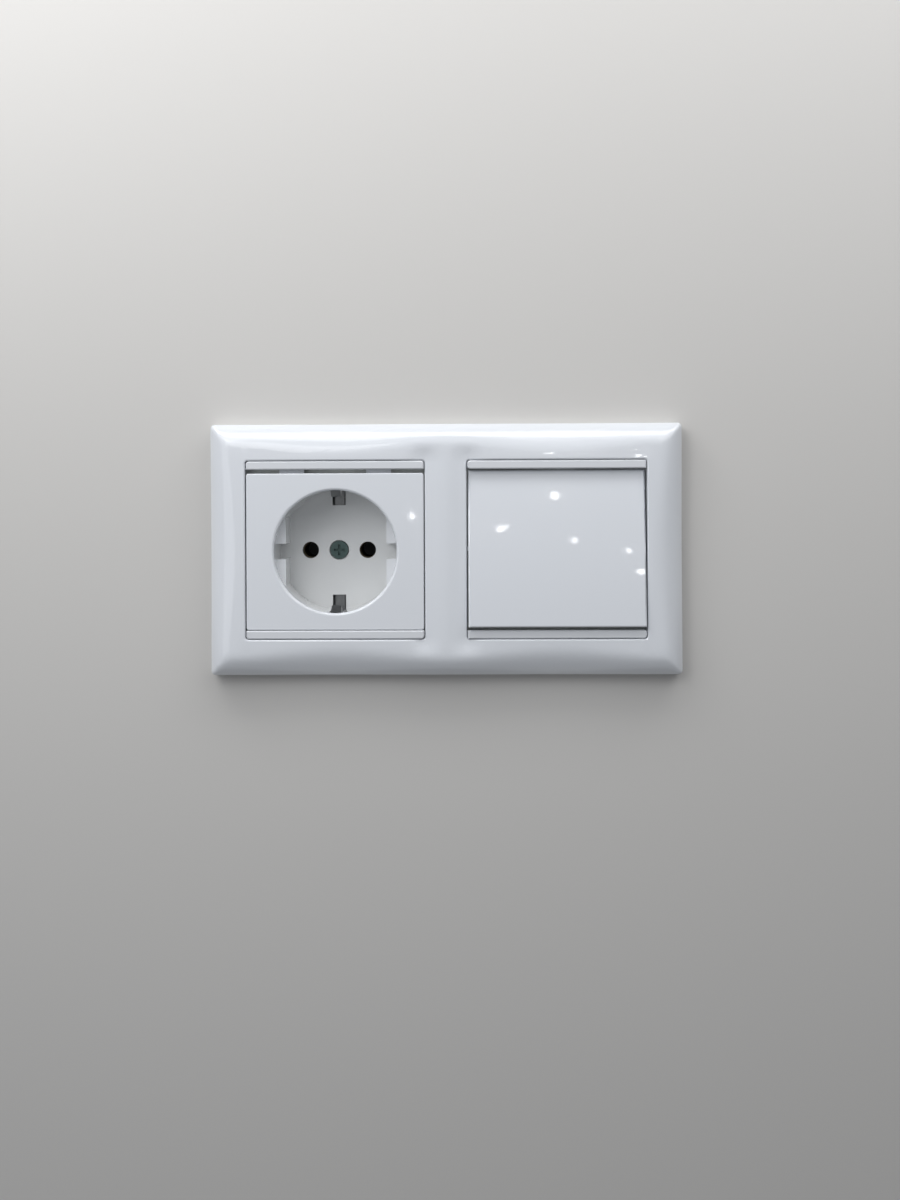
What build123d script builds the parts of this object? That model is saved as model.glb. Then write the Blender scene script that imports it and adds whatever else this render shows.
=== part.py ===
from build123d import *
import math
import os

os.makedirs("parts", exist_ok=True)

# Plug recess, which drives the size of everything round it
recess_radius = 19.7
recess_depth = 17.5
recess_rim_round = 0.9
recess_margin = 9.1
pin_pitch = 19.0
pin_hole_radius = 2.75
flat_inset = 3.4
flat_half_width = recess_radius - flat_inset
flat_depth = 4.5
notch_width = 5.0
cup_wall = 1.7
cup_radius = recess_radius + cup_wall
cup_floor = 2.6

# Two-gang layout: x along the wall, z up, the wall plane at y = 0, the front towards -y
window_width = 2 * (recess_radius + recess_margin)
window_squat = 0.2
window_height = window_width - window_squat
window_corner = 1.0
bar_width = 13.4
gang_pitch = window_width + bar_width
socket_x = -gang_pitch / 2
switch_x = gang_pitch / 2
gangs = [(socket_x, 0), (switch_x, 0)]
insert_drop = 0.55

# Frame outline
border_side = 11.75
border_level = 11.8
frame_width = gang_pitch + window_width + 2 * border_side
frame_height = window_height + 2 * border_level
frame_front = 9.8
frame_corner = 1.4

# Frame front: a convex border, wider at each gang's centre, and a crowned middle bar
border_reach = 0.68 * border_level
border_swell = 0.3 * border_level
border_drop = 4.8
drop_swell = 0.6
border_power = 2.1
mitre_softness = 0.5
bar_crown = 0.7
bar_fade = 6.0
outer_edge_round = 0.5

# Frame inside
frame_wall = 2.0
pocket_low = 3.0
step_inset = 5.0
pocket_step = 5.6
core_inset = 7.2
pocket_core = 7.6
skirt = 1.5
ledge_back = 4.4
ledge_front = 5.6
ledge_depth = 2.6
pad_front = 7.0
pad_length = 6.0
rib = 1.2
rib_offset = 20.0

# Trim strips
strip_height = 2.7
strip_front = 9.4
strip_end_gap = 0.3
strip_side_gap = 0.2
strip_corner = 1.0
strip_bevel = 0.35

# General clearances
running_gap = 0.1
free_gap = 0.3

# Socket cover
cover_side_gap = 0.3
cover_level_gap = 0.65
cover_width = window_width - 2 * cover_side_gap
cover_height = window_height - 2 * (strip_side_gap + strip_height + cover_level_gap)
cover_front = 9.0
cover_sheet = 2.2
cover_corner = 0.8
cover_skirt = 1.4
cover_skirt_depth = 2.2
cover_edge_round = 0.4
tab_x = 14.0
tab_width = 8.0
tab_overlap = 1.2
tab_root = 2.0

# Earth clip slots
earth_slot_width = 4.4
earth_slot_start = recess_radius - 4.8
earth_slot_rim = 1.6
earth_mouth_width = 5.4
earth_mouth_end = 4.2
earth_mouth_inset = 2.0

# Cover screw
screw_head_radius = 3.0
screw_head = 1.6
screw_sink = 0.2
screw_radius = 1.5
screw_length = 13.5
screw_drive = 1.0
drive_length = 3.6
drive_width = 0.8

# Earth strap
strap_thickness = 0.6
strap_width = 3.2
strap_side = cup_radius - 0.2
strap_ring = 4.6
strap_gap = 0.4
clip_bend_depth = 4.0
clip_bump = recess_radius - 1.7
clip_bump_height = 2.7
clip_lead_in = recess_radius + 0.1
clip_top = 6.4

# Mounting plates and box screw slots
plate_gap = 0.4
plate_size = gang_pitch - plate_gap
plate_thickness = 1.2
plate_corner = 3.0
box_slot_margin = 5.3
box_screw_pitch = plate_size - 2 * box_slot_margin
box_slot_length = 9.0
box_slot_radius = 1.9
plate_opening = cup_radius + 1.1

# Spreading claws
claw_pivot_x = cup_radius + 3.5
claw_pivot_depth = 1.7
claw_eye = 1.3
claw_bore = 0.8
claw_pin = 0.7
claw_half_width = 5.2
claw_sheet = 1.0
claw_reach = 19.5
claw_slot = 1.9
claw_slot_top = 5.5
ear_gap = 0.4
ear = 1.2
claw_screw_x = claw_pivot_x + 3.3
claw_screw_radius = 1.5
claw_tip_x = claw_screw_x + 1.4
claw_tip_bevel = 0.7
claw_head_radius = 2.7
claw_head = 1.8
claw_nut = 5.2
claw_nut_thickness = 2.0
screw_overrun = 0.5

# Bases, their posts and riveting pegs
base_size = 2 * (cup_radius - 0.9)
base_corner = 7.0
socket_base_back = 31.0
post = 3.1
post_inner = cup_radius + 1.5
post_outer = post_inner + post
post_low = claw_half_width + 2 * ear_gap + ear + 0.4
post_high = post_low + 3.3
flange = 2.5
peg_radius = 1.0
peg_rise = 0.6
peg_x = (post_inner + post_outer) / 2
peg_z = (post_low + post_high) / 2

# Pin sleeves
sleeve_outer = 3.3
sleeve_inner = 2.5
sleeve_start = 13.0
sleeve_end = 27.0
sleeve_slit = 0.8
sleeve_tab = 4.8

# Terminals
block_width = 7.4
block_depth = 6.4
block_length = 8.0
block_inset = 3.1
block_centre = base_size / 2 - block_inset - block_depth / 2
block_start = 18.5
wire_radius = 1.5
wire_centre = block_centre - 1.0
wire_entry_radius = 2.2
term_radius = 1.6
term_head_radius = 2.7
term_head = 2.0
term_slot = 0.8
chamber_gap = 0.3

# Switch base
switch_opening = base_size + 2.0
switch_base_corner = 5.0
switch_base_front = 3.0
switch_base_back = 22.0
switch_floor = 19.0
chamber_x = 2 * block_centre - block_depth
lever_room = 4.0
chamber_z = chamber_x + lever_room
front_wall = 2.0
bearer_wall = 1.6
bearer_width = 8.0
bearer_rise = 3.0

# Rocker
rocker_tilt = 4.5
pivot_height = 4.2
rocker_side_gap = 0.5
rocker_width = window_width - 2 * rocker_side_gap
rocker_level_gap = 0.65
rocker_height = window_height - 2 * (strip_side_gap + strip_height + rocker_level_gap)
rocker_front = 5.2
rocker_bow = 0.4
rocker_sheet = 2.0
rocker_wall = 1.6
rocker_skirt_end = 0.6
rocker_edge_round = 0.5
bracket_x = base_size / 2 + 1.1
bracket = 1.6
bracket_boss = 2.2
rocker_pin = 1.2
rocker_pin_end = bracket_x + 3.4
side_nub = 0.25
nub_radius = 0.8
nub_height = 3.2

# Plunger and spring
boss_radius = 3.6
boss_end = -3.0
plunger_radius = 2.15
plunger_tip = -7.9
plunger_back = -1.0
plunger_seat = 1.5
seat_radius = 1.0
spring_radius = 1.65
spring_wire = 0.25
spring_turns = 4

# Rocker carrier
carrier_front = 3.4
carrier_ear = 1.4
carrier_ear_top = 6.4
carrier_ear_half = 3.4
ear_x = bracket_x + bracket + free_gap + carrier_ear / 2
carrier_rim = 1.3
carrier_width = 2 * (ear_x + carrier_ear / 2 + carrier_rim)
carrier_height = base_size + 3.0
carrier_corner = 1.5
ear_foot = 1.5

# Contact lever and fixed contacts
lever_pivot_depth = 9.0
lever_tilt = 10.0
lever_valley = 3.0
lever_arm = 8.0
lever_vee = 12.0
lever_sheet = 1.2
lever_hub = 2.2
lever_pin = 1.2
blade_half_width = 2.5
blade_sheet = 0.8
blade_room = 0.4
lever_pin_end = chamber_x / 2 - blade_room - blade_sheet - free_gap
pin_overhang = 1.6
lever_half_width = lever_pin_end - pin_overhang - bearer_wall - free_gap
window_room = 2.0
switch_window = 2 * (lever_half_width + window_room)
button_radius = 1.5
lever_button = 1.4
lever_contact = 7.2
contact_gap = 3.0
contact_sheet = 1.0
contact_top = 13.0
fixed_button = 0.8


def level(h, x=0.0):
    """Plane parallel to the wall, h in front of it, centred at x."""
    return Plane(origin=(x, -h, 0), x_dir=(1, 0, 0), z_dir=(0, -1, 0))


def side_view(x, h=0.0):
    """Plane across a gang: local x is up, local y is out of the wall."""
    return Plane(origin=(x, -h, 0), x_dir=(0, 0, 1), z_dir=(1, 0, 0))


def top_view(x):
    """Plane seen from above: local x along the wall, local y out of the wall."""
    return Plane(origin=(x, 0, 0), x_dir=(1, 0, 0), z_dir=(0, 0, -1))


def save(builder, name, drop=0.0):
    """Label one finished piece and write it out, lowered where its insert sits low in the window."""
    piece = builder.part.moved(Location((0, 0, -drop)))
    piece.label = name
    export_step(piece, f"parts/{name}.step")


def border_fall(inset, swell):
    """How far the border lies below the front, at an inset from the outer edge."""
    reach = border_reach + border_swell * swell
    drop = border_drop + drop_swell * swell
    return drop * max(0.0, 1 - inset / reach) ** border_power


def front_height(x, z):
    """Height of the frame's front above the wall."""
    across, up = abs(x), abs(z)
    gang_swell = math.cos(math.pi * (across - gang_pitch / 2) / gang_pitch) ** 2
    end_swell = math.cos(math.pi * up / frame_height) ** 2
    level_fall = border_fall(frame_height / 2 - up, gang_swell)
    end_fall = border_fall(frame_width / 2 - across, end_swell)
    deepest = max(level_fall, end_fall)
    blend = math.exp((min(level_fall, end_fall) - deepest) / mitre_softness)
    fall = deepest + mitre_softness * math.log(1 + blend)
    bar_half = bar_width / 2
    past = min(1.0, max(0.0, (up - window_height / 2) / bar_fade))
    fade = 1 - past * past * (3 - 2 * past)
    dip = math.sin(math.pi * min(across, bar_width) / bar_width) ** 2
    return frame_front - fall - bar_crown * dip * fade


# Frame
surface_columns = 100
surface_rows = 56
grid_x = [(i / surface_columns - 0.5) * (frame_width + 3) for i in range(surface_columns + 1)]
grid_z = [(j / surface_rows - 0.5) * (frame_height + 3) for j in range(surface_rows + 1)]
front_points = [[Vector(x, -front_height(x, z), z) for z in grid_z] for x in grid_x]
front_face = Face.make_surface_from_array_of_points(front_points, tol=0.01)

ledge_z = window_height / 2 - ledge_depth
pad_x = window_width / 2 - pad_length / 2
with BuildPart() as outer_frame:
    with BuildSketch(level(0)):
        RectangleRounded(frame_width, frame_height, frame_corner)
    extrude(amount=frame_front + 4)
    extrude(to_extrude=front_face, amount=2 * frame_front, dir=(0, 1, 0), mode=Mode.INTERSECT)
    with BuildSketch(level(0)):
        with Locations(*gangs):
            RectangleRounded(window_width, window_height, window_corner)
    extrude(amount=frame_front + 4, mode=Mode.SUBTRACT)
    front_edges = [e for e in outer_frame.edges() if e.center().Y < -pocket_low]
    fillet(front_edges, outer_edge_round)
    with BuildSketch(level(0)):
        RectangleRounded(frame_width - 2 * frame_wall, frame_height - 2 * frame_wall, frame_corner)
    extrude(amount=pocket_low, mode=Mode.SUBTRACT)
    with BuildSketch(level(pocket_low)):
        RectangleRounded(frame_width - 2 * step_inset, frame_height - 2 * step_inset, frame_corner)
    extrude(amount=pocket_step - pocket_low, mode=Mode.SUBTRACT)
    with BuildSketch(level(pocket_step)):
        RectangleRounded(frame_width - 2 * core_inset, frame_height - 2 * core_inset, frame_corner)
        with Locations(*gangs):
            Rectangle(window_width + 2 * skirt, window_height + 2 * skirt, mode=Mode.SUBTRACT)
    extrude(amount=pocket_core - pocket_step, mode=Mode.SUBTRACT)
    for side in (-1, 1):
        with BuildSketch(level(ledge_back)):
            with Locations(*[(x, side * (ledge_z + (ledge_depth + skirt) / 2)) for x, _ in gangs]):
                Rectangle(window_width + 2 * skirt, ledge_depth + skirt)
        extrude(amount=ledge_front - ledge_back)
        with BuildSketch(level(ledge_front)):
            for x, _ in gangs:
                with Locations(
                    (x - pad_x, side * (ledge_z + (ledge_depth + skirt) / 2)),
                    (x + pad_x, side * (ledge_z + (ledge_depth + skirt) / 2)),
                ):
                    Rectangle(pad_length + skirt, ledge_depth + skirt)
        extrude(amount=pad_front - ledge_front)
    rib_z = (window_height / 2 + skirt + frame_height / 2 - frame_wall) / 2
    rib_span = frame_height / 2 - frame_wall - window_height / 2 - skirt + 1
    rib_spots = [
        (x + dx, side * rib_z) for x, _ in gangs for dx in (-rib_offset, 0, rib_offset) for side in (-1, 1)
    ]
    with BuildSketch(level(plate_thickness + ear_gap)):
        with Locations(*rib_spots):
            Rectangle(rib, rib_span)
    extrude(amount=pocket_step - plate_thickness - 2 * ear_gap)
save(outer_frame, "outer_frame")


# Trim strips
def trim_strip(x, side):
    """Slim glossy bar at the top (1) or bottom (-1) of a window."""
    length = window_width - 2 * strip_end_gap
    outer = window_height / 2 - strip_side_gap
    with BuildPart() as strip:
        with BuildSketch(level(pad_front, x)) as profile:
            with Locations((0, side * (outer - strip_height / 2))):
                Rectangle(length, strip_height)
            corners = profile.vertices().sort_by(lambda v: side * v.Z)[-2:]
            fillet(corners, strip_corner)
        extrude(amount=strip_front - pad_front)
        chamfer(strip.faces().sort_by(Axis.Y)[0].edges(), strip_bevel)
    return strip


for gang_name, gang_x in (("socket", socket_x), ("switch", switch_x)):
    for side_name, side in (("top", 1), ("bottom", -1)):
        save(trim_strip(gang_x, side), f"trim_strip_{gang_name}_{side_name}")

# Socket cover
floor_height = cover_front - recess_depth
floor_back = floor_height - cup_floor
head_sink = screw_sink + screw_head
with BuildPart() as socket_cover:
    with BuildSketch(level(cover_front, socket_x)):
        RectangleRounded(cover_width, cover_height, cover_corner)
    extrude(amount=-cover_sheet - cover_skirt_depth)
    fillet(socket_cover.faces().sort_by(Axis.Y)[0].edges(), cover_edge_round)
    with BuildSketch(level(cover_front - cover_sheet, socket_x)):
        Rectangle(cover_width - 2 * cover_skirt, cover_height - 2 * cover_skirt)
    extrude(amount=-cover_skirt_depth, mode=Mode.SUBTRACT)
    with BuildSketch(level(ledge_front, socket_x)):
        tab_end = ledge_z + tab_overlap
        with Locations((-tab_x, 0), (tab_x, 0)):
            Rectangle(tab_width, 2 * tab_end)
            Rectangle(tab_width, cover_height - 2 * tab_root, mode=Mode.SUBTRACT)
    extrude(amount=cover_front - cover_sheet - ledge_front)
    with BuildSketch(level(cover_front - cover_sheet, socket_x)):
        Circle(cup_radius)
    extrude(amount=floor_back - cover_front + cover_sheet)
    with BuildSketch(level(cover_front, socket_x)):
        Circle(recess_radius)
    extrude(amount=-flat_depth, mode=Mode.SUBTRACT)
    rim = socket_cover.edges().filter_by(GeomType.CIRCLE).group_by(Axis.Y)[0]
    fillet([e for e in rim if abs(e.radius - recess_radius) < 0.1], recess_rim_round)
    with BuildSketch(level(cover_front - flat_depth, socket_x)):
        Rectangle(2 * flat_half_width, 3 * recess_radius)
        Rectangle(3 * recess_radius, notch_width)
        Circle(recess_radius, mode=Mode.INTERSECT)
    extrude(amount=flat_depth - recess_depth, mode=Mode.SUBTRACT)
    slot_reach = cup_radius + 1 - earth_slot_start
    slot_spots = [(0, s * (earth_slot_start + slot_reach / 2)) for s in (-1, 1)]
    with BuildSketch(level(cover_front - earth_slot_rim, socket_x)):
        with Locations(*slot_spots):
            Rectangle(earth_slot_width, slot_reach)
    extrude(amount=floor_back - cover_front, mode=Mode.SUBTRACT)
    mouth_reach = cup_radius + 1 - recess_radius + earth_mouth_inset
    mouth_spots = [(0, s * (cup_radius + 1 - mouth_reach / 2)) for s in (-1, 1)]
    with BuildSketch(level(cover_front - earth_slot_rim, socket_x)):
        with Locations(*mouth_spots):
            Rectangle(earth_mouth_width, mouth_reach)
    extrude(amount=earth_slot_rim - earth_mouth_end, mode=Mode.SUBTRACT)
    with BuildSketch(level(floor_height, socket_x)):
        with Locations((-pin_pitch / 2, 0), (pin_pitch / 2, 0)):
            Circle(pin_hole_radius)
        Circle(screw_radius + free_gap)
    extrude(amount=-cup_floor, mode=Mode.SUBTRACT)
    with BuildSketch(level(floor_height, socket_x)):
        Circle(screw_head_radius + free_gap)
    extrude(amount=-head_sink, mode=Mode.SUBTRACT)
save(socket_cover, "socket_cover", insert_drop)

# Cover screw
head_top = floor_height - screw_sink
with BuildPart() as cover_screw:
    with BuildSketch(level(head_top, socket_x)):
        Circle(screw_head_radius)
    extrude(amount=-screw_head)
    with BuildSketch(level(head_top - screw_head, socket_x)):
        Circle(screw_radius)
    extrude(amount=-screw_length)
    with BuildSketch(level(head_top, socket_x)):
        Rectangle(drive_length, drive_width)
        Rectangle(drive_width, drive_length)
    extrude(amount=-screw_drive, mode=Mode.SUBTRACT)
save(cover_screw, "cover_screw", insert_drop)

# Earth strap with two side clips and its terminal block
base_front = floor_back - strap_gap - strap_thickness
strap_middle = base_front + strap_thickness / 2
clip_path = [
    (0, strap_middle),
    (strap_side, strap_middle),
    (strap_side, -clip_bend_depth),
    (clip_bump, clip_bump_height),
    (clip_lead_in, clip_top),
]
with BuildPart() as earth_strap:
    for side in (-1, 1):
        with BuildSketch(side_view(socket_x)):
            with BuildLine():
                Polyline(*[(side * z, h) for z, h in clip_path])
            trace(line_width=strap_thickness)
        extrude(amount=strap_width / 2, both=True)
    with BuildSketch(level(base_front, socket_x)):
        Circle(strap_ring)
    extrude(amount=strap_thickness)
    with BuildSketch(level(base_front, socket_x)):
        Circle(screw_radius + 2 * free_gap)
    extrude(amount=strap_thickness, mode=Mode.SUBTRACT)
    with BuildSketch(level(base_front, socket_x)):
        with Locations((0, block_centre)):
            Rectangle(strap_width, contact_sheet)
    extrude(amount=-base_front - block_start - contact_sheet)
    with BuildSketch(level(-block_start, socket_x)):
        with Locations((0, block_centre)):
            Rectangle(block_width, block_depth)
    extrude(amount=-block_length)
    with BuildSketch(level(-block_start, socket_x)):
        with Locations((0, wire_centre)):
            Circle(wire_radius)
    extrude(amount=-block_length, mode=Mode.SUBTRACT)
    screw_level = -block_start - block_length / 2
    with Locations(Location((socket_x, -screw_level, wire_centre))):
        Cylinder(
            term_radius + running_gap,
            block_depth,
            align=(Align.CENTER, Align.CENTER, Align.MIN),
            mode=Mode.SUBTRACT,
        )
save(earth_strap, "earth_strap", insert_drop)


# Line and neutral contacts
def pole_contact(x):
    """Slit pin sleeve joined by a tab to a terminal block below it."""
    with BuildPart() as contact:
        with BuildSketch(level(-sleeve_start, x)):
            Circle(sleeve_outer)
        extrude(amount=sleeve_start - sleeve_end)
        with BuildSketch(level(-block_start - contact_sheet, x)):
            with Locations((0, -block_centre / 2)):
                Rectangle(sleeve_tab, block_centre)
        extrude(amount=-contact_sheet)
        with BuildSketch(level(-block_start, x)):
            with Locations((0, -block_centre)):
                Rectangle(block_width, block_depth)
        extrude(amount=-block_length)
        with BuildSketch(level(-sleeve_start, x)):
            Circle(sleeve_inner)
            with Locations((0, sleeve_outer)):
                Rectangle(sleeve_slit, 2 * sleeve_outer)
        extrude(amount=sleeve_start - sleeve_end, mode=Mode.SUBTRACT)
        with BuildSketch(level(-block_start, x)):
            with Locations((0, -wire_centre)):
                Circle(wire_radius)
        extrude(amount=-block_length, mode=Mode.SUBTRACT)
        with Locations(Location((x, -screw_level, -wire_centre))):
            Cylinder(
                term_radius + running_gap,
                block_depth,
                align=(Align.CENTER, Align.CENTER, Align.MAX),
                mode=Mode.SUBTRACT,
            )
    return contact


pole_xs = [socket_x - pin_pitch / 2, socket_x + pin_pitch / 2]
save(pole_contact(pole_xs[0]), "contact_left", insert_drop)
save(pole_contact(pole_xs[1]), "contact_right", insert_drop)

# Terminal screws
shank_start = wire_centre + wire_radius + free_gap
shank_end = block_centre + block_depth / 2 + free_gap


def terminal_screw(plane):
    """One slotted terminal screw, its plane facing outwards at the wire."""
    with BuildPart() as screw:
        with BuildSketch(plane.offset(shank_start)):
            Circle(term_radius)
        extrude(amount=shank_end - shank_start)
        with BuildSketch(plane.offset(shank_end)):
            Circle(term_head_radius)
        extrude(amount=term_head)
        with BuildSketch(plane.offset(shank_end + term_head)):
            Rectangle(2 * term_head_radius, term_slot)
        extrude(amount=-term_slot, mode=Mode.SUBTRACT)
    return screw.part


def facing(x, depth, direction):
    """Plane through a terminal at this depth behind the wall, facing a direction."""
    return Plane(origin=(x, depth, 0), x_dir=(0, 1, 0), z_dir=direction)


with BuildPart() as socket_terminal_screws:
    add(terminal_screw(facing(socket_x, -screw_level, (0, 0, 1))))
    add(terminal_screw(facing(pole_xs[0], -screw_level, (0, 0, -1))))
    add(terminal_screw(facing(pole_xs[1], -screw_level, (0, 0, -1))))
save(socket_terminal_screws, "socket_terminal_screws", insert_drop)

# Socket base
chamber_end = block_centre + block_depth / 2 + chamber_gap
with BuildPart() as socket_base:
    with BuildSketch(level(base_front, socket_x)):
        RectangleRounded(base_size, base_size, base_corner)
    extrude(amount=-base_front - socket_base_back)
    post_width = post_outer - post_inner
    post_spots = [
        (sx * (post_inner + post_outer) / 2, sz * (post_low + post_high) / 2)
        for sx in (-1, 1)
        for sz in (-1, 1)
    ]
    with BuildSketch(level(base_front, socket_x)):
        for sz in (-1, 1):
            with Locations((0, sz * (post_low + post_high) / 2)):
                Rectangle(2 * post_outer, post_high - post_low)
    extrude(amount=-flange)
    with BuildSketch(level(base_front, socket_x)):
        with Locations(*post_spots):
            Rectangle(post_width, post_high - post_low)
    extrude(amount=-base_front)
    with BuildSketch(level(0, socket_x)):
        with GridLocations(2 * peg_x, 2 * peg_z, 2, 2):
            Circle(peg_radius)
    extrude(amount=plate_thickness + peg_rise)
    with BuildSketch(level(base_front, socket_x)):
        with Locations((-pin_pitch / 2, 0), (pin_pitch / 2, 0)):
            Circle(sleeve_outer + free_gap)
        chamber_mid = (chamber_end + block_centre - block_depth / 2 - chamber_gap) / 2
        chamber_span = block_depth + 2 * chamber_gap
        for x, side in ((-pin_pitch / 2, -1), (pin_pitch / 2, -1), (0, 1)):
            with Locations((x, side * chamber_mid)):
                Rectangle(block_width + 2 * chamber_gap, chamber_span)
        with Locations((-pin_pitch / 2, -block_centre / 2), (pin_pitch / 2, -block_centre / 2)):
            Rectangle(sleeve_tab + 2 * chamber_gap, block_centre)
    extrude(amount=-base_front - block_start - 2 * contact_sheet - chamber_gap, mode=Mode.SUBTRACT)
    with BuildSketch(level(-block_start, socket_x)):
        with Locations((-pin_pitch / 2, 0), (pin_pitch / 2, 0)):
            Circle(sleeve_outer + free_gap)
        for x, side in ((-pin_pitch / 2, -1), (pin_pitch / 2, -1), (0, 1)):
            with Locations((x, side * chamber_mid)):
                Rectangle(block_width + 2 * chamber_gap, chamber_span)
    extrude(amount=block_start - sleeve_end, mode=Mode.SUBTRACT)
    with BuildSketch(level(-sleeve_end, socket_x)):
        with Locations((-pin_pitch / 2, -wire_centre), (pin_pitch / 2, -wire_centre), (0, wire_centre)):
            Circle(wire_entry_radius)
    extrude(amount=sleeve_end - socket_base_back, mode=Mode.SUBTRACT)
    with BuildSketch(level(base_front, socket_x)):
        Circle(screw_radius + running_gap)
    extrude(amount=-screw_length, mode=Mode.SUBTRACT)
    for x, sign in ((socket_x, 1), (pole_xs[0], -1), (pole_xs[1], -1)):
        with BuildSketch(facing(x, -screw_level, (0, 0, sign)).offset(chamber_mid)):
            Circle(term_head_radius + free_gap)
        extrude(amount=base_size / 2, mode=Mode.SUBTRACT)
save(socket_base, "socket_base", insert_drop)


# Mounting plates
def mounting_plate(x, round_opening, drop):
    """Steel plate with box screw slots and the ears that carry the claws."""
    with BuildPart() as plate:
        with BuildSketch(level(0, x)):
            RectangleRounded(plate_size, plate_size, plate_corner)
            if round_opening:
                with Locations((0, -drop)):
                    Circle(plate_opening, mode=Mode.SUBTRACT)
            else:
                RectangleRounded(switch_opening, switch_opening, switch_base_corner, mode=Mode.SUBTRACT)
            with Locations((0, -box_screw_pitch / 2), (0, box_screw_pitch / 2)):
                SlotOverall(box_slot_length, 2 * box_slot_radius, mode=Mode.SUBTRACT)
            with Locations(*[(sx * peg_x, sz * peg_z - drop) for sx in (-1, 1) for sz in (-1, 1)]):
                Circle(peg_radius + free_gap, mode=Mode.SUBTRACT)
            with Locations((-claw_screw_x, 0), (claw_screw_x, 0)):
                Circle(claw_screw_radius + free_gap, mode=Mode.SUBTRACT)
        extrude(amount=plate_thickness)
        ear_z = claw_half_width + ear_gap + ear / 2
        with BuildSketch(level(0, x)):
            with GridLocations(2 * claw_pivot_x, 2 * ear_z, 2, 2):
                Rectangle(2 * claw_eye, ear)
        extrude(amount=-claw_pivot_depth - claw_eye)
        for side in (-1, 1):
            for up in (-1, 1):
                stub = Plane(
                    origin=(x + side * claw_pivot_x, claw_pivot_depth, up * ear_z),
                    z_dir=(0, 0, -up),
                )
                with BuildSketch(stub):
                    Circle(claw_pin)
                extrude(amount=ear_z - 1)
    return plate


save(mounting_plate(socket_x, True, insert_drop), "socket_plate")
save(mounting_plate(switch_x, False, 0), "switch_plate")


# Spreading claws
def claw(x, side):
    """Bent claw hanging from the plate's ears beside the base."""
    inner = claw_pivot_x - claw_sheet / 2
    outer = claw_pivot_x + claw_sheet / 2
    with BuildPart() as piece:
        with BuildSketch(top_view(x)):
            with BuildLine():
                Polyline(
                    (side * inner, -claw_pivot_depth),
                    (side * inner, -claw_reach),
                    (side * claw_tip_x, -claw_reach),
                    (side * (claw_tip_x - claw_tip_bevel), -claw_reach + claw_sheet),
                    (side * outer, -claw_reach + claw_sheet),
                    (side * outer, -claw_pivot_depth),
                    close=True,
                )
            make_face()
            with Locations((side * claw_pivot_x, -claw_pivot_depth)):
                Circle(claw_eye)
                Circle(claw_bore, mode=Mode.SUBTRACT)
        extrude(amount=claw_half_width, both=True)
        with BuildSketch(level(-claw_slot_top, x)):
            with Locations((side * claw_tip_x, 0)):
                Rectangle(2 * (claw_tip_x - inner) + 2, 2 * claw_slot)
        extrude(amount=-claw_reach, mode=Mode.SUBTRACT)
    return piece


def claw_screws(x):
    """The two claw screws of one gang."""
    with BuildPart() as screws:
        with BuildSketch(level(plate_thickness, x)):
            with Locations((-claw_screw_x, 0), (claw_screw_x, 0)):
                Circle(claw_head_radius)
        extrude(amount=claw_head)
        with BuildSketch(level(plate_thickness + claw_head, x)):
            with Locations((-claw_screw_x, 0), (claw_screw_x, 0)):
                Rectangle(drive_width, 2 * claw_head_radius)
        extrude(amount=-drive_width, mode=Mode.SUBTRACT)
        with BuildSketch(level(plate_thickness, x)):
            with Locations((-claw_screw_x, 0), (claw_screw_x, 0)):
                Circle(claw_screw_radius)
        extrude(amount=-plate_thickness - claw_reach - claw_nut_thickness - screw_overrun)
    return screws


def claw_nuts(x):
    """The two square nuts that pull one gang's claws forward."""
    with BuildPart() as nuts:
        with BuildSketch(level(-claw_reach, x)):
            with Locations((-claw_screw_x, 0), (claw_screw_x, 0)):
                Rectangle(claw_nut, claw_nut)
                Circle(claw_screw_radius + running_gap, mode=Mode.SUBTRACT)
        extrude(amount=-claw_nut_thickness)
    return nuts


for gang_name, gang_x in (("socket", socket_x), ("switch", switch_x)):
    save(claw(gang_x, -1), f"{gang_name}_claw_left")
    save(claw(gang_x, 1), f"{gang_name}_claw_right")
    save(claw_screws(gang_x), f"{gang_name}_claw_screws")
    save(claw_nuts(gang_x), f"{gang_name}_claw_nuts")

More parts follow.
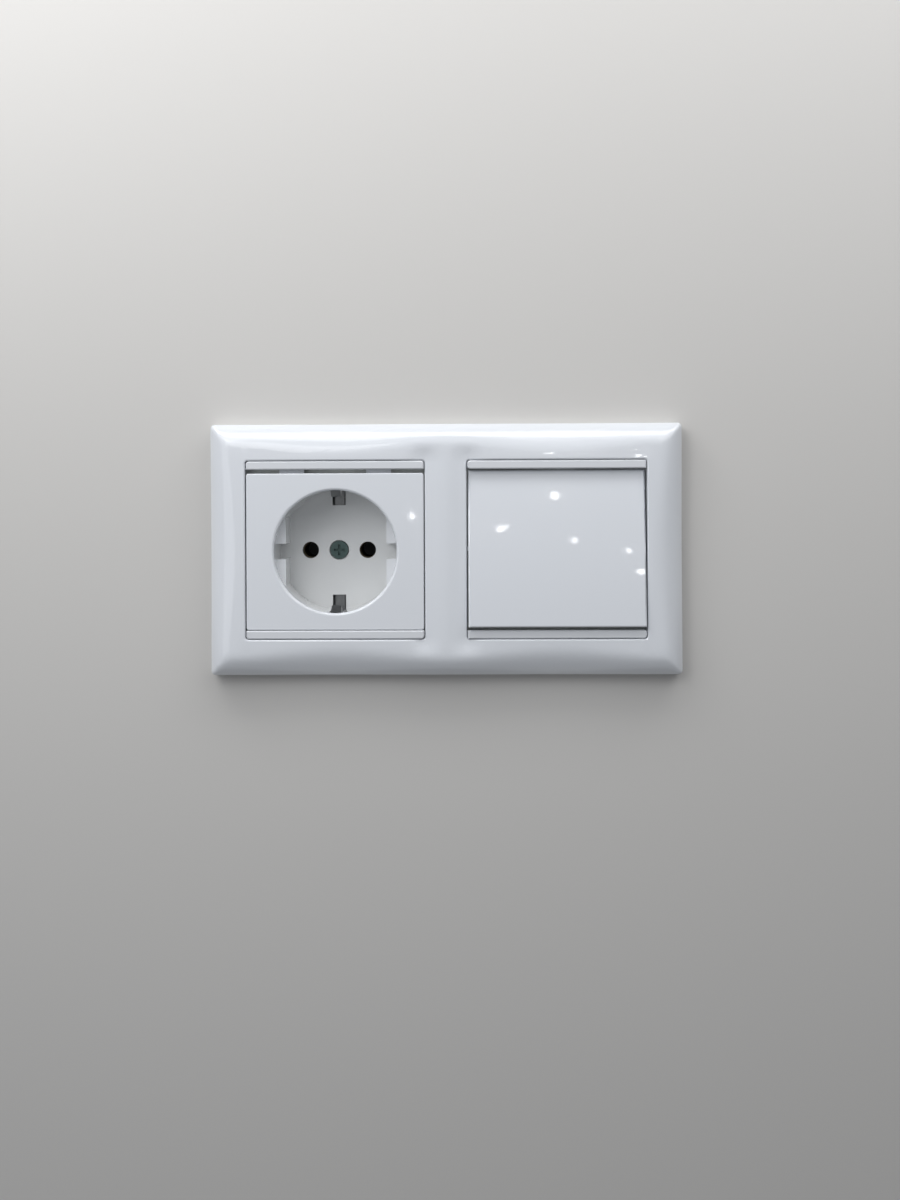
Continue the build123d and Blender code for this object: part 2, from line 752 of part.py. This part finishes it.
# Rocker, drawn in its tilted rest position about the pivot
tilt = math.radians(rocker_tilt)
out_of_face = (0, -math.cos(tilt), math.sin(tilt))
rocker_pivot = Plane(origin=(switch_x, -pivot_height, 0), x_dir=(1, 0, 0), z_dir=out_of_face)
rocker_side = Plane(
    origin=(switch_x, -pivot_height, 0),
    x_dir=(0, math.sin(tilt), math.cos(tilt)),
    z_dir=(1, 0, 0),
)
half = rocker_height / 2
rim_height = rocker_front - rocker_bow
with BuildPart() as rocker:
    with BuildSketch(rocker_side):
        with BuildLine():
            ThreePointArc((-half, rim_height), (0, rocker_front), (half, rim_height))
            Polyline(
                (half, rim_height),
                (half, rocker_skirt_end),
                (-half, rocker_skirt_end),
                (-half, rim_height),
            )
        make_face()
    extrude(amount=rocker_width / 2, both=True)
    front = max(rocker.faces(), key=lambda f: f.area if f.center().Y < -pivot_height - 3 else 0)
    fillet(front.edges(), rocker_edge_round)
    with BuildSketch(rocker_pivot.offset(rocker_skirt_end)):
        Rectangle(rocker_width - 2 * rocker_wall, rocker_height - 2 * rocker_wall)
    extrude(amount=rocker_front - rocker_bow - rocker_sheet - rocker_skirt_end, mode=Mode.SUBTRACT)
    inside = rocker_front - rocker_bow - rocker_sheet
    for side in (-1, 1):
        with BuildSketch(rocker_side.offset(side * bracket_x)):
            Circle(bracket_boss)
            with Locations((0, (inside + rocker_edge_round) / 2)):
                Rectangle(2 * bracket_boss, inside + rocker_edge_round)
        extrude(amount=side * bracket)
        with BuildSketch(rocker_side.offset(side * (bracket_x + bracket))):
            Circle(rocker_pin)
        extrude(amount=side * (rocker_pin_end - bracket_x - bracket))
    with BuildSketch(rocker_pivot.offset(boss_end)):
        Circle(boss_radius)
    extrude(amount=inside - boss_end + rocker_edge_round)
    with BuildSketch(rocker_pivot.offset(boss_end)):
        Circle(plunger_radius + running_gap)
    extrude(amount=inside - boss_end, mode=Mode.SUBTRACT)
    nub = rocker_side.offset(-rocker_width / 2 - side_nub)
    with BuildSketch(nub):
        with Locations((0, nub_height)):
            Circle(nub_radius)
    extrude(amount=side_nub + rocker_edge_round)
save(rocker, "rocker")

# Plunger and its spring
with BuildPart() as plunger:
    with BuildSketch(rocker_pivot.offset(plunger_tip)):
        Circle(plunger_radius)
    extrude(amount=plunger_back - plunger_tip)
    with BuildSketch(rocker_pivot.offset(plunger_back)):
        Circle(seat_radius)
    extrude(amount=plunger_seat)
    with Locations(rocker_pivot.offset(plunger_tip)):
        Sphere(plunger_radius)
save(plunger, "plunger")

spring_space = inside - plunger_back - 2 * spring_wire
with BuildPart() as plunger_spring:
    coil_start = rocker_pivot.from_local_coords((0, 0, plunger_back + spring_wire))
    with BuildLine() as coil:
        Helix(
            spring_space / spring_turns,
            spring_space,
            spring_radius,
            center=coil_start,
            direction=out_of_face,
        )
    with BuildSketch(Plane(origin=coil.line @ 0, z_dir=coil.line % 0)):
        Circle(spring_wire)
    sweep()
save(plunger_spring, "plunger_spring")

# Rocker carrier
with BuildPart() as rocker_carrier:
    with BuildSketch(level(plate_thickness, switch_x)):
        RectangleRounded(carrier_width, carrier_height, carrier_corner)
        Rectangle(base_size + 1, base_size + 1, mode=Mode.SUBTRACT)
        Rectangle(2 * (bracket_x + bracket + free_gap), 2 * carrier_ear_half + 1, mode=Mode.SUBTRACT)
        with Locations((-claw_screw_x, 0), (claw_screw_x, 0)):
            Circle(claw_head_radius + free_gap, mode=Mode.SUBTRACT)
    extrude(amount=carrier_front - plate_thickness)
    with BuildSketch(level(carrier_front - ear_foot, switch_x)):
        with Locations((-ear_x, 0), (ear_x, 0)):
            Rectangle(carrier_ear, 2 * carrier_ear_half)
    extrude(amount=carrier_ear_top - carrier_front + ear_foot)
    with BuildSketch(level(plate_thickness, switch_x)):
        for sx in (-1, 1):
            for sz in (-1, 1):
                with Locations((sx * ear_x, sz * (carrier_ear_half + peg_rise))):
                    Rectangle(carrier_ear, 2 * peg_rise + free_gap)
    extrude(amount=carrier_front - plate_thickness)
    with BuildSketch(side_view(switch_x, pivot_height)):
        Circle(rocker_pin + running_gap)
    extrude(amount=ear_x + carrier_ear, both=True, mode=Mode.SUBTRACT)
    with BuildSketch(level(plate_thickness, switch_x)):
        with GridLocations(2 * peg_x, 2 * peg_z, 2, 2):
            Circle(peg_radius + 2 * free_gap)
    extrude(amount=2 * peg_rise, mode=Mode.SUBTRACT)
save(rocker_carrier, "rocker_carrier")

# Contact lever, drawn tilted about its pivot
lever_side = Plane(
    origin=(switch_x, lever_pivot_depth, 0),
    x_dir=(0, -math.sin(math.radians(lever_tilt)), math.cos(math.radians(lever_tilt))),
    z_dir=(1, 0, 0),
)
rise = lever_arm * math.tan(math.radians(lever_vee))
with BuildPart() as contact_lever:
    with BuildSketch(lever_side):
        with BuildLine():
            Polyline(
                (-lever_arm, lever_valley + rise),
                (0, lever_valley),
                (lever_arm, lever_valley + rise),
                (lever_arm, lever_valley + rise - lever_sheet),
                (0, lever_valley - lever_sheet),
                (-lever_arm, lever_valley + rise - lever_sheet),
                close=True,
            )
        make_face()
        Circle(lever_hub)
        with Locations((0, lever_valley / 2)):
            Rectangle(lever_hub, lever_valley - lever_sheet / 2)
    extrude(amount=lever_half_width, both=True)
    with BuildSketch(lever_side):
        Circle(lever_pin)
    extrude(amount=lever_pin_end, both=True)
    with BuildSketch(lever_side):
        with Locations((0, -(lever_contact + button_radius) / 2)):
            Rectangle(blade_sheet, lever_contact + button_radius)
    extrude(amount=blade_half_width, both=True)
    button = Plane(
        origin=lever_side.from_local_coords((0, -lever_contact, 0)),
        x_dir=(1, 0, 0),
        z_dir=lever_side.x_dir,
    )
    with BuildSketch(button):
        Circle(button_radius)
    extrude(amount=lever_button, both=True)
save(contact_lever, "contact_lever")


# Switch terminals
def switch_contact(side):
    """Fixed contact above (1) or below (-1) the lever, with its terminal block."""
    with BuildPart() as contact:
        blade_z = contact_gap + fixed_button
        with BuildSketch(side_view(switch_x)):
            with Locations((side * (blade_z + contact_sheet / 2), -(switch_floor + contact_top) / 2)):
                Rectangle(contact_sheet, switch_floor - contact_top)
            with Locations((side * (blade_z + block_centre) / 2, -switch_floor + contact_sheet / 2)):
                Rectangle(block_centre - blade_z, contact_sheet)
        extrude(amount=blade_half_width, both=True)
        button = facing(switch_x, lever_pivot_depth + lever_contact, (0, 0, side))
        with BuildSketch(button.offset(contact_gap)):
            Circle(button_radius)
        extrude(amount=fixed_button)
        with BuildSketch(level(-switch_floor, switch_x)):
            with Locations((0, side * block_centre)):
                Rectangle(block_width, block_depth)
        extrude(amount=block_length)
        with BuildSketch(level(-switch_floor, switch_x)):
            with Locations((0, side * wire_centre)):
                Circle(wire_radius)
        extrude(amount=block_length, mode=Mode.SUBTRACT)
        with BuildSketch(facing(switch_x, term_depth, (0, 0, side)).offset(wire_centre)):
            Circle(term_radius + running_gap)
        extrude(amount=block_depth, mode=Mode.SUBTRACT)
    return contact


term_depth = switch_floor - block_length / 2
save(switch_contact(1), "fixed_contact_upper")
save(switch_contact(-1), "fixed_contact_lower")

with BuildPart() as common_contact:
    blade_x = lever_pin_end + free_gap
    with BuildSketch(level(-switch_floor, switch_x)):
        with Locations((blade_x + blade_sheet / 2, 0)):
            Rectangle(blade_sheet, 2 * blade_half_width)
    extrude(amount=switch_floor - lever_pivot_depth + button_radius)
    with BuildSketch(level(-switch_floor, switch_x)):
        with Locations(((blade_x + block_centre) / 2, 0)):
            Rectangle(block_centre - blade_x, 2 * blade_half_width)
    extrude(amount=contact_sheet)
    with BuildSketch(level(-switch_floor, switch_x)):
        with Locations((block_centre, 0)):
            Rectangle(block_depth, block_width)
    extrude(amount=block_length)
    with BuildSketch(level(-switch_floor, switch_x)):
        with Locations((wire_centre, 0)):
            Circle(wire_radius)
    extrude(amount=block_length, mode=Mode.SUBTRACT)
    with BuildSketch(facing(switch_x, term_depth, (1, 0, 0)).offset(wire_centre)):
        Circle(term_radius + running_gap)
    extrude(amount=block_depth, mode=Mode.SUBTRACT)
save(common_contact, "common_contact")

with BuildPart() as switch_terminal_screws:
    add(terminal_screw(facing(switch_x, term_depth, (0, 0, 1))))
    add(terminal_screw(facing(switch_x, term_depth, (0, 0, -1))))
    add(terminal_screw(facing(switch_x, term_depth, (1, 0, 0))))
save(switch_terminal_screws, "switch_terminal_screws")

# Switch base
with BuildPart() as switch_base:
    with BuildSketch(level(-switch_base_back, switch_x)):
        RectangleRounded(base_size, base_size, switch_base_corner)
    extrude(amount=switch_base_back + switch_base_front)
    with BuildSketch(level(0, switch_x)):
        for sz in (-1, 1):
            with Locations((0, sz * (post_low + post_high) / 2)):
                Rectangle(2 * post_outer, post_high - post_low)
    extrude(amount=-flange)
    with BuildSketch(level(0, switch_x)):
        with GridLocations(2 * peg_x, 2 * peg_z, 2, 2):
            Circle(peg_radius)
    extrude(amount=plate_thickness + peg_rise)
    with BuildSketch(level(-switch_floor, switch_x)):
        Rectangle(chamber_x, chamber_z)
        with Locations((0, chamber_mid), (0, -chamber_mid)):
            Rectangle(block_width + 2 * chamber_gap, chamber_span)
        with Locations((chamber_mid, 0)):
            Rectangle(chamber_span, block_width + 2 * chamber_gap)
    extrude(amount=switch_floor + switch_base_front - front_wall, mode=Mode.SUBTRACT)
    with BuildSketch(level(switch_base_front, switch_x)):
        Rectangle(switch_window, switch_window)
    extrude(amount=-front_wall, mode=Mode.SUBTRACT)
    with BuildSketch(level(-switch_base_back, switch_x)):
        with Locations((0, wire_centre), (0, -wire_centre), (wire_centre, 0)):
            Circle(wire_entry_radius)
    extrude(amount=switch_base_back - switch_floor, mode=Mode.SUBTRACT)
    for direction in ((0, 0, 1), (0, 0, -1), (1, 0, 0)):
        with BuildSketch(facing(switch_x, term_depth, direction).offset(chamber_mid)):
            Circle(term_head_radius + free_gap)
        extrude(amount=base_size / 2, mode=Mode.SUBTRACT)
    with BuildSketch(level(-switch_floor, switch_x)):
        bearer_x = lever_half_width + free_gap + bearer_wall / 2
        with Locations((-bearer_x, 0), (bearer_x, 0)):
            Rectangle(bearer_wall, bearer_width)
    extrude(amount=switch_floor - lever_pivot_depth + bearer_rise)
    with BuildSketch(side_view(switch_x, -lever_pivot_depth)):
        Circle(lever_pin + running_gap)
    extrude(amount=bearer_x + bearer_wall, both=True, mode=Mode.SUBTRACT)
save(switch_base, "switch_base")
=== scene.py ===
import math

import bpy
from mathutils import Matrix, Vector


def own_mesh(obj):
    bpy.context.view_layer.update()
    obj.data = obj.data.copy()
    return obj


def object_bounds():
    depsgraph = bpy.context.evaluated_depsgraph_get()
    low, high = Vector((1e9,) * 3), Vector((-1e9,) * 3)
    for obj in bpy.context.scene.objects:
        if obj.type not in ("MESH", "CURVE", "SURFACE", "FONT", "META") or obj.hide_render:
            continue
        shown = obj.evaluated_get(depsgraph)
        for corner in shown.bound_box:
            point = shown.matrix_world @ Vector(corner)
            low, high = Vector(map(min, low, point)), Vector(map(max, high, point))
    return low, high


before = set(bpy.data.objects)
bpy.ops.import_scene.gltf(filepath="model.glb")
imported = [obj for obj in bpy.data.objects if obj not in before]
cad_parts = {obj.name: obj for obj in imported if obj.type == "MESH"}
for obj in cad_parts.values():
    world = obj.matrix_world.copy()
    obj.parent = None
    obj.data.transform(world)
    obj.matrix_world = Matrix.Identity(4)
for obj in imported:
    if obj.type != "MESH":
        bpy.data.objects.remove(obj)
cad_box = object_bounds()


class Socket:
    """A node's outlet, on which + - * and the two limits add Math nodes."""

    def __init__(self, nodes, out):
        self.nodes, self.out = nodes, out

    def math(self, operation, first, second):
        return self.nodes.add("ShaderNodeMath", {"operation": operation}, {0: first, 1: second})

    def __add__(self, other):
        return self.math("ADD", self, other)

    def __radd__(self, other):
        return self.math("ADD", other, self)

    def __sub__(self, other):
        return self.math("SUBTRACT", self, other)

    def __rsub__(self, other):
        return self.math("SUBTRACT", other, self)

    def __mul__(self, other):
        return self.math("MULTIPLY", self, other)

    def __rmul__(self, other):
        return self.math("MULTIPLY", other, self)

    def at_least(self, other):
        return self.math("MAXIMUM", self, other)

    def at_most(self, other):
        return self.math("MINIMUM", self, other)


NOISE_ROUGHNESS = 0.55
BUMP_DEPTH = 0.0002


class Nodes:
    """The nodes of one material or world, all added by one method."""

    def __init__(self, tree):
        self.tree = tree
        tree.nodes.clear()

    def add(self, kind, settings=None, inputs=None, outlet=0):
        """Add a node: its settings come first, then each socket gets a value or a link."""
        made = self.tree.nodes.new(kind)
        for key, value in (settings or {}).items():
            setattr(made, key, value)
        for key, value in (inputs or {}).items():
            if isinstance(value, Socket):
                self.tree.links.new(value.out, made.inputs[key])
            else:
                made.inputs[key].default_value = value
        return Socket(self, made.outputs[outlet]) if made.outputs else None

    def here(self):
        return self.add("ShaderNodeTexCoord", outlet="Object")

    def noise(self, scale, detail):
        inputs = {"Vector": self.here(), "Scale": scale, "Detail": detail}
        return self.add("ShaderNodeTexNoise", inputs={**inputs, "Roughness": NOISE_ROUGHNESS})

    def bump(self, height, strength):
        inputs = {"Height": height, "Strength": strength, "Distance": BUMP_DEPTH}
        return self.add("ShaderNodeBump", inputs=inputs)

    def mix(self, factor, first, second):
        """Mix two colours: sockets 0, 6 and 7 are the factor and the colours."""
        inputs = {0: factor, 6: first, 7: second}
        return self.add("ShaderNodeMix", {"data_type": "RGBA"}, inputs, outlet=2)

    def principled(self, **values):
        inputs = {key.replace("_", " "): value for key, value in values.items()}
        return self.add("ShaderNodeBsdfPrincipled", inputs=inputs)

    def surface(self, shader):
        self.add("ShaderNodeOutputMaterial", inputs={"Surface": shader})


def new_material(name):
    """A material by this name and its emptied nodes."""
    material = bpy.data.materials.get(name) or bpy.data.materials.new(name)
    material.use_nodes = True
    return material, Nodes(material.node_tree)


# Painted shade: glossy plastic turns a touch warmer behind its front faces, standing for the
# shade in recesses
WARM_START_Y = -0.007  # just behind the front faces
WARM_SLOPE = 160.0  # per metre: fully warm 6 mm deeper
WARM_RED, WARM_BLUE = 1.02, 0.95
HAZE = 0.05


def gloss_plastic(name, color, roughness):
    """Moulded glossy plastic with faint handling haze, and a painted warm tint for the shade
    deeper in, in the recesses.
    """
    material, nodes = new_material(name)
    haze = nodes.noise(scale=90.0, detail=4.0)
    depth = nodes.add("ShaderNodeSeparateXYZ", inputs={"Vector": nodes.here()}, outlet="Y")
    # Painted shade: the share of the warm shade tint, growing with depth behind the fronts
    recess_shade_share = (WARM_SLOPE * (depth - WARM_START_Y)).at_most(1.0).at_least(0.0)
    red, green, blue = color
    recess_shade_tint = (red * WARM_RED, green, blue * WARM_BLUE)
    plastic = nodes.principled(
        Base_Color=nodes.mix(recess_shade_share, (*color, 1), (*recess_shade_tint, 1)),
        Roughness=roughness + HAZE * (haze - 0.5),
        Coat_Weight=0.75,
        Coat_Roughness=0.03,
        Specular_IOR_Level=0.28,
    )
    nodes.surface(plastic)
    return material


def matte_plastic(name, color, roughness):
    """Moulded inner plastic with a fine grain."""
    material, nodes = new_material(name)
    plastic = nodes.principled(
        Base_Color=(*color, 1),
        Roughness=roughness + 0.12 * nodes.noise(scale=400.0, detail=2.0),
        Normal=nodes.bump(nodes.noise(scale=2600.0, detail=2.0), strength=0.12),
    )
    nodes.surface(plastic)
    return material


def metal(name, color, roughness, tone):
    """Plated or bare metal in patches, the darker ones by the share that tone gives."""
    material, nodes = new_material(name)
    patch = nodes.noise(scale=900.0, detail=4.0)
    dark = tuple(c * (1 - tone) for c in color)
    plate = nodes.principled(
        Base_Color=nodes.mix(patch, (*dark, 1), (*color, 1)),
        Metallic=1.0,
        Roughness=roughness + 0.16 * patch,
        Normal=nodes.bump(nodes.noise(scale=2200.0, detail=3.0), strength=0.10),
    )
    nodes.surface(plate)
    return material


# For each slot of the frame's record: the maker, its colour, its roughness and a metal's tone
LOOKS = {
    "white_gloss": (gloss_plastic, (0.69, 0.715, 0.757), 0.13),
    "strip_gloss": (gloss_plastic, (0.655, 0.675, 0.71), 0.10),
    "white_matte": (matte_plastic, (0.62, 0.62, 0.60), 0.45),
    "grey_plastic": (matte_plastic, (0.16, 0.165, 0.175), 0.5),
    "zinc_steel": (metal, (0.50, 0.52, 0.52), 0.32, 0.3),
    "spring_steel": (metal, (0.20, 0.205, 0.21), 0.26, 0.3),
    "brass": (metal, (0.30, 0.22, 0.11), 0.42, 0.35),
}

for obj in [o for o in bpy.data.objects if o.type == "MESH"]:
    for held in obj.material_slots:
        slot = held.material.name.split(".")[0] if held.material else ""
        if slot in LOOKS:
            maker, *finish = LOOKS[slot]
            look = bpy.data.materials.get("look_" + slot)
            held.material = look or maker("look_" + slot, *finish)


def wear(piece, look):
    """Give one piece a look of its own in place of its slot's."""
    for held in bpy.data.objects[piece].material_slots:
        held.material = look


wear("cover_screw", metal("look_dark_zinc", (0.07, 0.10, 0.097), 0.42, 0.4))
# Painted shade: the contacts seen through the pin holes are darkened so the holes read black
brass_painted_dark = metal("look_dark_brass", (0.10, 0.08, 0.05), 0.45, 0.3)
wear("contact_left", brass_painted_dark)
wear("contact_right", brass_painted_dark)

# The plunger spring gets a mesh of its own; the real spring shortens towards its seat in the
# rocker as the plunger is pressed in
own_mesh(bpy.data.objects["plunger_spring"])

# Studio: a wall with an opening behind the frame, so that the back is lit too
CENTRE = (0, 0, 0)
WALL_HALF = 3.0
INSET = WALL_HALF / 2
WALL_LAP = 0.00015  # the frame's rim covers the opening's edge by this much
OPENING_CUT = 0.0016  # off each corner of the opening, as the frame's corners are round
FLATTEN = (1, 0, 1)  # onto the wall plane, free of the turn's rounding
opening_half_x = cad_box[1][0] - WALL_LAP
opening_half_z = cad_box[1][2] - WALL_LAP
opening_scale = (opening_half_x / INSET, 1, opening_half_z / INSET)

bpy.ops.object.select_all(action="DESELECT")
bpy.ops.mesh.primitive_plane_add(size=2 * WALL_HALF, rotation=(math.radians(90), 0, 0))
backdrop = bpy.context.active_object
backdrop.name = "backdrop"
bpy.ops.object.transform_apply(location=False, rotation=True, scale=False)
bpy.ops.object.mode_set(mode="EDIT")
bpy.ops.mesh.select_mode(type="VERT")
bpy.ops.mesh.select_all(action="SELECT")
bpy.ops.transform.resize(value=FLATTEN, center_override=CENTRE)
bpy.ops.mesh.inset(thickness=INSET)
bpy.ops.transform.resize(value=opening_scale, center_override=CENTRE)
bpy.ops.mesh.delete(type="ONLY_FACE")
bpy.ops.object.mode_set(mode="OBJECT")

# Only the opening's corners lie inside the inset's first outline
for corner in backdrop.data.vertices:
    corner.select = abs(corner.co.x) < INSET
bpy.ops.object.mode_set(mode="EDIT")
bpy.ops.mesh.bevel(offset=OPENING_CUT, affect="VERTICES")
bpy.ops.object.mode_set(mode="OBJECT")

# The wall's paint shows from the front only
paint, nodes = new_material("backdrop_paint")
painted = nodes.principled(Base_Color=(0.57, 0.56, 0.545, 1), Roughness=0.9)
clear = nodes.add("ShaderNodeBsdfTransparent")
from_behind = nodes.add("ShaderNodeNewGeometry", outlet="Backfacing")
nodes.surface(nodes.add("ShaderNodeMixShader", inputs={0: from_behind, 1: painted, 2: clear}))
backdrop.data.materials.append(paint)

# Camera at the photograph's place, fitted to points measured in its frame
PHOTO_WIDTH, PHOTO_HEIGHT = 900.0, 1200.0
SENSOR = 36.0
FOCAL_PX = 1325.9
CENTRE_PX = (421.2, 506.7)
PITCH, ROLL, YAW = (math.radians(angle) for angle in (-0.162, 0.244, 1.072))
EYE = Vector((0.000132, -0.432946, 0.014975))
aim = (
    Matrix.Rotation(YAW, 3, "Z") @ Matrix.Rotation(PITCH, 3, "X") @ Matrix.Rotation(ROLL, 3, "Y")
)
upright = aim @ Matrix.Rotation(math.radians(90), 3, "X")
camera_data = bpy.data.cameras.new("camera")
camera_data.sensor_width = SENSOR
camera_data.lens = FOCAL_PX * SENSOR / PHOTO_HEIGHT
camera_data.shift_x = (PHOTO_WIDTH / 2 - CENTRE_PX[0]) / PHOTO_HEIGHT
camera_data.shift_y = (CENTRE_PX[1] - PHOTO_HEIGHT / 2) / PHOTO_HEIGHT
camera = bpy.data.objects.new("camera", camera_data)
camera.matrix_world = Matrix.Translation(EYE) @ upright.to_4x4()
bpy.context.scene.collection.objects.link(camera)
bpy.context.scene.camera = camera


def lamp(name, shape, size, power, place, towards, color):
    """Area lamp at a place, shining along a direction."""
    data = bpy.data.lights.new(name, "AREA")
    data.shape = shape
    data.size, data.size_y = size
    data.energy, data.color = power, color
    made = bpy.data.objects.new(name, data)
    made.location = place
    made.rotation_mode = "QUATERNION"
    made.rotation_quaternion = towards.to_track_quat("-Z", "Y")
    bpy.context.scene.collection.objects.link(made)


WHITE = (1, 1, 1)
COOL = (0.97, 1.0, 1.04)


def area_light(name, place, size, power, target=CENTRE, color=WHITE):
    """Rectangular lamp, aimed at a target."""
    towards = Vector(target) - Vector(place)
    lamp(name, "RECTANGLE", size, power, place, towards, color)


FRONT_Y = -0.0092  # the covers' front faces
GLINT_DISTANCE = 1.6
GLOW = 34.0


def glint_lamp(name, spot_px, lean, radius, tall):
    """Small lamp whose mirror image falls on one point of the photograph's frame.

    lean is the tilt of the front there in degrees, and tall is the lamp's height to its width.
    """
    right = (spot_px[0] - CENTRE_PX[0]) / FOCAL_PX
    up = (CENTRE_PX[1] - spot_px[1]) / FOCAL_PX
    ray = aim @ Vector((right, 1.0, up))
    spot = EYE + ray * ((FRONT_Y - EYE.y) / ray.y)
    normal = Vector((0, -math.cos(math.radians(lean)), math.sin(math.radians(lean))))
    away = (ray - 2 * ray.dot(normal) * normal).normalized()
    size = (2 * radius, 2 * radius * tall)
    power = GLOW * tall * (math.pi * radius) ** 2
    lamp(name, "ELLIPSE", size, power, spot + GLINT_DISTANCE * away, -away, WHITE)


area_light("ceiling_strip", (0, -0.15, 0.37), (0.70, 0.12), 0.88)
area_light("ceiling_left", (-0.22, -0.21, 0.28), (0.30, 0.26), 0.56, target=(-0.02, 0, 0))
area_light("ceiling_right", (0.25, -0.25, 0.30), (0.36, 0.30), 0.50)
area_light("room_front", (0, -0.70, 0.40), (0.60, 0.40), 0.32, color=COOL)
area_light("room_left", (-0.78, -0.72, 0.22), (0.70, 0.80), 1.62, color=COOL)
area_light("room_window", (-0.25, -0.60, 0.27), (0.34, 0.30), 0.70)
area_light("rear_left", (-0.45, 0.55, 0.45), (0.50, 0.40), 5.0)
area_light("rear_right", (0.55, 0.50, 0.20), (0.40, 0.40), 3.5)

# Highlights, as x and y in the photograph's frame: six on the rocker and one on the cover
ROCKER_TOP_PX = (555.0, 495.5)
ROCKER_LEFT_PX = (500.0, 529.0)
ROCKER_LEFT_TAIL_PX = (506.0, 526.0)
ROCKER_MIDDLE_PX = (575.0, 540.0)
ROCKER_RIGHT_PX = (629.0, 551.0)
ROCKER_EDGE_PX = (641.5, 571.5)
COVER_PX = (412.0, 516.0)
glint_lamp("ceiling_lamp_0", ROCKER_TOP_PX, lean=5.72, radius=0.0054, tall=1.9)
glint_lamp("ceiling_lamp_1", ROCKER_LEFT_PX, lean=4.95, radius=0.0042, tall=1.9)
glint_lamp("ceiling_lamp_2", ROCKER_LEFT_TAIL_PX, lean=5.00, radius=0.0024, tall=1.9)
glint_lamp("ceiling_lamp_3", ROCKER_MIDDLE_PX, lean=4.68, radius=0.0034, tall=1.9)
glint_lamp("ceiling_lamp_4", ROCKER_RIGHT_PX, lean=4.43, radius=0.0031, tall=1.9)
glint_lamp("ceiling_lamp_5", ROCKER_EDGE_PX, lean=3.95, radius=0.0054, tall=1.2)
glint_lamp("ceiling_lamp_6", COVER_PX, lean=0.0, radius=0.0043, tall=1.0)

# World: soft even light, seen as a pale backdrop
ROOM_LIGHT = (0.175, 0.18, 0.188, 1)
PALE_BACKDROP = (0.70, 0.71, 0.72, 1)
world = bpy.data.worlds.get("World") or bpy.data.worlds.new("World")
bpy.context.scene.world = world
world.use_nodes = True
room = Nodes(world.node_tree)
seen = room.add("ShaderNodeLightPath", outlet="Is Camera Ray")
for kind in ("Is Glossy Ray", "Is Transmission Ray"):
    seen = seen.at_least(room.add("ShaderNodeLightPath", outlet=kind))
light = room.mix(seen, ROOM_LIGHT, PALE_BACKDROP)
background = room.add("ShaderNodeBackground", inputs={"Color": light, "Strength": 1.0})
room.add("ShaderNodeOutputWorld", inputs={"Surface": background})

bpy.context.scene.view_settings.view_transform = "Standard"
